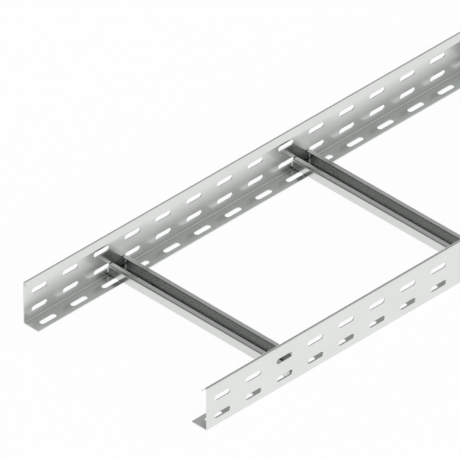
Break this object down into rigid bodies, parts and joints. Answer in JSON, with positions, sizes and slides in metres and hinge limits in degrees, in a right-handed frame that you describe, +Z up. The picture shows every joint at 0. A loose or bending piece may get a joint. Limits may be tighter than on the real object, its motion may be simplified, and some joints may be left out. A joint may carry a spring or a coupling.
{
  "type": "cable ladder section",
  "caption": "Straight section of steel cable ladder with folded side rails, punched slots and C channel rungs welded between the rails.",
  "frame": {"origin": "middle of the underside, on the plane of the two flanges", "axes": "+X along the ladder, +Y across it to the back rail, +Z up"},
  "size_m": [3, 0.3, 0.059],
  "materials": {
    "rail_steel": "bright pre-galvanised sheet, smooth, faint rolling marks along the rail",
    "rung_steel": "bright pre-galvanised sheet, smooth, faint marks across the rung"
  },
  "bodies": {
    "root": {"side_rail_front": "rail_steel", "side_rail_back": "rail_steel", "rung_01": "rung_steel", "rung_02": "rung_steel", "rung_03": "rung_steel", "rung_04": "rung_steel", "rung_05": "rung_steel", "rung_06": "rung_steel", "rung_07": "rung_steel", "rung_08": "rung_steel", "rung_09": "rung_steel", "rung_10": "rung_steel"}
  },
  "joints": []
}
